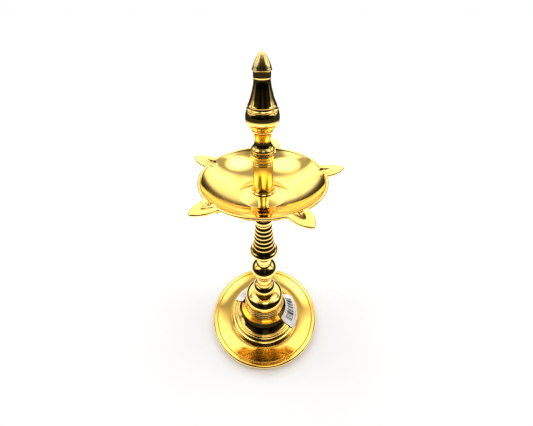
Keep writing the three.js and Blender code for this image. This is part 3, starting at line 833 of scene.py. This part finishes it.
def channel_cut(radius, off, surface):
    """How much the wick channel takes off: a rising floor, hollow across, inside a leaf outline."""
    along, across = radius * np.cos(off), np.abs(radius * np.sin(off))
    t = np.clip((along - CHANNEL_FROM) / (CHANNEL_TO - CHANNEL_FROM), 0, 1)
    half = CHANNEL_HALF_WIDTH * np.sqrt(np.clip(1 - t**1.5, 1e-6, 1))
    floor = CHANNEL_FLOOR + (beak_top(CHANNEL_TO) - CHANNEL_FLOOR) * t**1.5
    inside = (along > CHANNEL_FROM) & (along < CHANNEL_TO)
    hollow = np.clip(1 - (across / half) ** 2.4, 0, 1)
    return np.where(inside, np.clip(surface - floor, 0, None) * hollow, 0)


def pan_grid():
    """Rows: underside of the bowl, underside of the edge, edge, upper face, bowl, bore."""
    angle, off = pan_angles()
    edge = edge_radius(off) - BEAK_EDGE
    is_beak = np.clip((edge + BEAK_EDGE - PAN_RADIUS) / 3.0, 0, 1)
    outside = bowl_back(BOSS_RADIUS + (UNDERSIDE_TO - BOSS_RADIUS) * np.linspace(0, 1, 26) ** 0.9)
    middle = [[radius, pan_bottom] for radius in (M8_BORE, BOSS_RADIUS - 4, BOSS_RADIUS - 0.4)]
    outside = np.vstack([middle, outside])
    level_at_edge = beak_top(edge) * is_beak + PAN_RIM * (1 - is_beak)
    start, start_level = outside[-1]
    t = np.linspace(0, 1, 13)[1:-1, None]
    under_radius = start + (edge - start) * t
    root_bulge = ROOT_BULGE * is_beak * np.sin(np.pi * np.clip(1.2 * t, 0, 1)) ** 2
    under_level = start_level + (level_at_edge - 2 * BEAK_EDGE - start_level) * t ** (1 - 0.5 * is_beak)
    turn = np.radians(np.linspace(-90, 90, 11))[:, None]
    edge_row = edge + BEAK_EDGE * np.cos(turn)
    edge_level = level_at_edge - BEAK_EDGE + BEAK_EDGE * np.sin(turn)
    t = np.linspace(0, 1, 41)[1:, None]
    inwards = edge + (PAN_INSIDE - edge) * t
    plate = beak_top(inwards) * is_beak + PAN_RIM * (1 - is_beak)
    bead = np.clip((inwards - PAN_INSIDE) / (BEAD_TOP - PAN_INSIDE), 0, 1)
    ridge = PAN_EDGE + (PAN_RIM - PAN_EDGE) * np.sqrt(np.clip(1 - (1 - bead) ** 2, 0, 1))
    blend = np.clip((inwards - BEAD_TOP) / 1.4, 0, 1) ** 2 * is_beak
    upper = ridge * (1 - blend) + plate * blend
    upper = upper - channel_cut(inwards, off, upper)
    down = np.linspace(PAN_INSIDE, 40, 27)[1:]
    boss = [BOSS_RADIUS + 0.25, BOSS_RADIUS, BOSS_RADIUS - 0.25,
            *np.linspace(BOSS_RADIUS - 1, PAN_SEAT, 14), PAN_SEAT - 0.3, M8_BORE]
    down = np.concatenate([down, np.linspace(40, BOSS_RADIUS + 1, 28)[1:], boss])[:, None]
    bowl = bowl_level(down) + 0 * off
    bowl = bowl - channel_cut(down, off, bowl)
    flat = np.ones_like(off)
    radius = np.vstack([outside[:, :1] * flat, under_radius, edge_row, inwards, down * flat])
    level = np.vstack([outside[:, 1:] * flat, under_level - root_bulge, edge_level, upper, bowl])
    return np.stack([radius * np.cos(angle), radius * np.sin(angle), level], -1)


grid = pan_grid()
pan_mesh = mesh_from_grid("oil_pan_cast", grid, True, np.zeros(len(grid)))
place(pan_mesh, "oil_pan", "pan", MIRROR_BRASS)

# %% [markdown]
# ## Column and finial
#
# The column clamps the pan. It stands on a small foot with a lip, narrows a little above it, and
# has two fine cuts near the top. The collar, the bulb and the cap screw on above it.

# %% Column
COLUMN_RADIUS = 7.8


def cut_at(level, radius, deep=0.5, wide=0.45):
    """A fine cut round a cylinder."""
    return outline((radius, level - wide), (radius - deep, level), (radius, level + wide))


turned("oil_column", "column", MIRROR_BRASS, outline(
    (0, 225.5),
    (M8_BORE, 225.5),
    (M8_BORE, column_bottom),
    (column_foot - 0.5, column_bottom),
    (column_foot, column_bottom + 0.45),
    (column_foot - 0.2, column_bottom + 0.9),
    (9.25, column_bottom + 1.1),
    curve((9.0, column_bottom + 1.3), (8.5, 212.8), (8.15, 214.6), (8.0, 218.0), (7.9, 224.0),
          (7.8, 229.0), (7.8, 234.8), steps=8),
    cut_at(236.0, COLUMN_RADIUS),
    cut_at(237.8, COLUMN_RADIUS + 0.05),
    (COLUMN_RADIUS + 0.15, 240.6),
    (COLUMN_RADIUS + 0.5, 241.3),
    (COLUMN_RADIUS + 0.55, 242.8),
    (COLUMN_RADIUS + 0.3, column_top),
    (M6_BORE, column_top),
    (M6_BORE, 229.5),
    (0, 229.5),
), closed=False, columns=112)

# %% Collar
turned("column_collar", "column", MIRROR_BRASS, outline(
    (M6_BORE, collar_bottom),
    (collar_radius - 0.5, collar_bottom),
    (collar_radius - 0.15, collar_bottom + 0.6),
    (collar_radius - 0.4, 244.7),
    arc((collar_radius - 1.7, 246.6), (1.7, 1.8), -55, 62),
    (collar_radius - 1.0, 248.5),
    (collar_radius - 1.7, 248.9),
    curve((7.0, 249.2), (6.4, 250.3), (6.0, 251.6), (5.85, 252.6), steps=8),
    (5.85, collar_top),
    (M6_BORE, collar_top),
), columns=112)

# %% Finial
turned("finial_body", "finial", MIRROR_BRASS, outline(
    (0, 271.0),
    (M6_BORE, 271.0),
    (M6_BORE, finial_bottom),
    (5.55, finial_bottom),
    curve((5.6, 253.9), (5.95, 255.2), (6.6, 257.4), (7.2, 259.5), (7.45, 260.7), steps=6),
    (7.3, 261.0),
    curve((8.1, 261.6), (8.5, 262.1), (9.8, 263.6), (10.95, 265.6), (bulb_radius, 267.7),
          (bulb_radius, 269.8), (11.0, 272.0), (10.6, 273.1), steps=8),
    (10.25, 273.5),
    arc((9.95, 274.3), (0.5, 0.55), -60, 60),
    (9.85, 275.0),
    (9.55, 275.5),
    arc((9.05, 276.6), (0.5, 0.55), -60, 60),
    (9.1, 277.4),
    curve((8.75, 278.2), (7.9, 280.2), (7.1, 282.6), (6.2, 285.7), (5.5, 288.9), (5.15, 291.6),
          steps=8),
    (5.4, 292.2),
    (5.4, finial_top),
    (2.6, finial_top),
    (2.6, 289.0),
    (0, 289.0),
), closed=False, columns=112)

# %% Cap
turned("finial_cap", "finial", CAP_BRASS, outline(
    (0, cap_bottom),
    (2.3, cap_bottom),
    (2.3, finial_top + 0.3),
    (cap_radius - 0.35, finial_top + 0.3),
    (cap_radius, finial_top + 0.75),
    (cap_radius - 0.2, finial_top + 1.3),
    curve((5.75, 297.0), (5.35, 298.3), (4.5, 300.1), (3.3, 302.2), (2.15, 303.9),
          (1.3, cap_top - 0.25), (0.5, cap_top - 0.02), steps=8),
    (0, cap_top),
), closed=False, columns=96)

# %% [markdown]
# ## Studs, washer and nut
#
# These are hidden while the lamp stands, but each section can be lifted off, and then the threads
# show. A thread is a surface too: its radius is a triangle wave of the height minus a share of the
# pitch for every part of a turn, so the ridge climbs as it goes round. Towards the ends the wave
# fades into a chamfer. The nut is a hexagon whose corners a cone has cut off.

# %% Threaded studs
def stud(node, body, outer, pitch, bore_end=0.6):
    """Radius = outer - depth * triangle wave of (height / pitch - angle / one turn), with chamfers."""
    low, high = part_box(node)
    bottom, top = low.z / MM, high.z / MM
    columns = 40
    level = np.linspace(bottom, top, int((top - bottom) / pitch * 8))[:, None]
    angle = 2 * np.pi * np.arange(columns) / columns
    phase = np.mod(level / pitch - angle / (2 * np.pi), 1)
    radius = outer - 0.6 * pitch * np.abs(2 * phase - 1)
    radius = np.minimum(radius, outer - bore_end + np.minimum(level - bottom, top - level))
    points = np.stack([radius * np.cos(angle), radius * np.sin(angle), level + 0 * angle], -1)
    axis = np.zeros((1, columns, 3))
    points = np.vstack([axis + (0, 0, bottom), points, axis + (0, 0, top)])
    place(mesh_from_grid(node + "_thread", points, False), node, body, ZINC)


stud("base_stud", "base", 4.0, 1.25)
for stem_stud in ("knop_stud", "baluster_stud", "pan_stud"):
    stud(stem_stud, "stem", 4.0, 1.25)
stud("finial_stud", "column", 3.0, 1.0)

# %% Washer and nut
WASHER_RADIUS = 12.0
washer_low, washer_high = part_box("base_washer")
turned("base_washer", "base", ZINC, outline(
    (M8_BORE, washer_low.z / MM),
    (WASHER_RADIUS, washer_low.z / MM),
    (WASHER_RADIUS, washer_high.z / MM),
    (M8_BORE, washer_high.z / MM),
), columns=96, rounding=0.12)


def hexagon_nut(node, body, flats=13.0):
    """Radius = flats / 2 / cos(angle from the nearest flat), but no more than a 30 degree cone."""
    low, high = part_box(node)
    bottom, top = low.z / MM, high.z / MM
    columns = 96
    angle = 2 * np.pi * np.arange(columns) / columns
    from_flat = np.mod(angle, np.pi / 3) - np.pi / 6
    hexagon = flats / 2 / np.cos(from_flat)
    share = np.array([0, 0, 0.06, 0.12, 0.2, 0.3, 0.5, 0.7, 0.8, 0.88, 0.94, 1, 1, 1, 0])
    level = bottom + (top - bottom) * share
    reach = np.array([0.5, 1, 1, 1, 1, 1, 1, 1, 1, 1, 1, 1, 0.5, 0, 0])[:, None]
    from_end = np.minimum(level - bottom, top - level)[:, None]
    cone = flats / 2 - 0.1 + from_end / math.tan(math.radians(30))
    radius = M8_BORE + (np.minimum(hexagon, cone) - M8_BORE) * reach
    points = np.stack([radius * np.cos(angle), radius * np.sin(angle), level[:, None] + 0 * angle], -1)
    place(mesh_from_grid(node + "_hexagon", points, True), node, body, ZINC)


hexagon_nut("base_nut", "base")

# %% [markdown]
# ## Paper labels
#
# Two price labels are stuck round the bell. A label's short side bridges from the flare over the
# lip to the foot, as paper does that can't follow a hollow. Its printing is generic: bars of
# unequal width across it, and two rows of dashes, all worked out from the label's own UV map.

# %% Paper
def label_paper(name, ink):
    """White coated paper: bars chosen by white noise of the place along the label, and dashes."""
    material = bpy.data.materials.new(name)
    material.use_nodes = True
    tree = material.node_tree
    shader = tree.nodes["Principled BSDF"]
    coords = add_node(tree, "ShaderNodeTexCoord")
    split = add_node(tree, "ShaderNodeSeparateXYZ")
    link(tree, coords.outputs["UV"], split.inputs[0])
    along, across = split.outputs["X"], split.outputs["Y"]

    def window(value, low, high):
        """1 between low and high."""
        above = maths(tree, "GREATER_THAN", value, low)
        return maths(tree, "MULTIPLY", above, maths(tree, "LESS_THAN", value, high))

    def dashes(count, share, low, high):
        """A row of count dashes along the label, of which the share is inked."""
        noise = add_node(tree, "ShaderNodeTexWhiteNoise", noise_dimensions="1D")
        link(tree, maths(tree, "FLOOR", maths(tree, "MULTIPLY", along, count)), noise.inputs["W"])
        return maths(tree, "MULTIPLY", maths(tree, "LESS_THAN", noise.outputs["Value"], share),
                     window(across, low, high))

    bars = maths(tree, "MULTIPLY", dashes(64.0, 0.58, 0.24, 0.70), window(along, 0.14, 0.84))
    upper_row = maths(tree, "MULTIPLY", dashes(70.0, 0.6, 0.10, 0.16), window(along, 0.24, 0.74))
    lower_row = maths(tree, "MULTIPLY", dashes(60.0, 0.6, 0.79, 0.86), window(along, 0.22, 0.80))
    both_rows = maths(tree, "MULTIPLY", maths(tree, "MAXIMUM", upper_row, lower_row), 0.7)
    printed = maths(tree, "MAXIMUM", bars, both_rows)
    hands = use_group(tree, HANDLING, coords.outputs["Object"], Size=90.0)
    rubbed_off = maths(tree, "MULTIPLY", hands.outputs["Mask"], 0.25)
    worn = maths(tree, "MULTIPLY", printed, maths(tree, "SUBTRACT", ink, rubbed_off))
    paper = mix_colour(tree, maths(tree, "MULTIPLY", hands.outputs["Fine"], 0.3), (0.93, 0.93, 0.91, 1),
                       (0.87, 0.87, 0.84, 1))
    link(tree, mix_colour(tree, worn, paper, (0.05, 0.05, 0.055, 1)), shader.inputs["Base Color"])
    link(tree, step(tree, hands.outputs["Fine"], 0.0, 1.0, 0.45, 0.62), shader.inputs["Roughness"])
    bump = add_node(tree, "ShaderNodeBump", inputs={"Strength": 1.0, "Distance": 2e-5})
    link(tree, hands.outputs["Fine"], bump.inputs["Height"])
    link(tree, bump.outputs["Normal"], shader.inputs["Normal"])
    return {"material": material, "slot": "paper"}


# %% Label sheets
LABEL_PATH = curve((27.6, 26.9), (29.9, 22.3), (34.0, 16.9), (38.5, 13.9), (41.6, 10.6), (44.2, 7.4),
                   steps=8)


def label_sheet(node, middle, finish):
    """A bent sheet: (along, across) on the paper gives an angle round the axis and a place on the path.

    The half angle shrinks downwards, because the bell widens. The paper still grows from 39 mm at
    its upper edge to 48 mm at its lower one, so laid flat it isn't quite a rectangle. Both faces
    are rows of one grid that closes on itself, and the corners curl away a little.
    """
    across_count, along_count, thickness = 36, 97, 0.22
    marks = np.linspace(0, walked(LABEL_PATH)[-1], across_count)
    path = spread(LABEL_PATH, marks)
    along_path = np.gradient(path, axis=0)
    along_path /= np.linalg.norm(along_path, axis=1)[:, None]
    outwards = np.column_stack([-along_path[:, 1], along_path[:, 0]])
    v = np.linspace(0, 1, across_count)[:, None]
    u = np.linspace(-1, 1, along_count)[None, :]
    angle = math.radians(middle) + np.radians(40.5 + (31.0 - 40.5) * v) * u
    curl = 0.35 * np.abs(u) ** 12 * (0.3 + 0.7 * np.abs(2 * v - 1) ** 3)

    def face(lift):
        """One face of the sheet, lifted off the path along its outward direction."""
        radius = path[:, :1] + outwards[:, :1] * (lift + curl)
        level = path[:, 1:] + outwards[:, 1:] * (lift + curl)
        return np.stack([radius * np.cos(angle), radius * np.sin(angle), level], -1)

    front, back = face(thickness), face(0.0)
    points = np.concatenate([front, back[:, ::-1]], axis=1)
    rows, columns = points.shape[:2]
    index = np.arange(rows * columns).reshape(rows, columns)
    right = np.roll(index, -1, axis=1)
    sides = np.stack([index[:-1], index[1:], right[1:], right[:-1]], -1).reshape(-1, 4)
    half = columns // 2
    pair = np.arange(half - 1)
    ends = [np.stack([row[pair], row[pair + 1], row[columns - 2 - pair], row[columns - 1 - pair]], -1)
            for row in (index[0], index[-1, ::-1])]
    faces = np.vstack([sides, *ends])
    mesh = bpy.data.meshes.new(node + "_sheet")
    mesh.from_pydata((points.reshape(-1, 3) * MM).tolist(), [], faces.tolist())
    mesh.polygons.foreach_set("use_smooth", np.ones(len(faces), bool))
    chart = np.concatenate([(u + 1) / 2 + 0 * v, ((u + 1) / 2 + 0 * v)[:, ::-1]], axis=1).ravel()
    rise = np.repeat(v, columns, axis=1).ravel()
    corner = np.array([vertex for face_row in faces for vertex in face_row])
    layer = mesh.uv_layers.new(name="label")
    places = np.column_stack([chart[corner], rise[corner]])
    layer.data.foreach_set("uv", places.astype(np.float32).ravel())
    mesh.update()
    return place(mesh, node, "base", finish)


label_sheet("label_right", -2, label_paper("label paper, fresh", 1.0))
label_sheet("label_left", 128, label_paper("label paper, faded", 0.4))
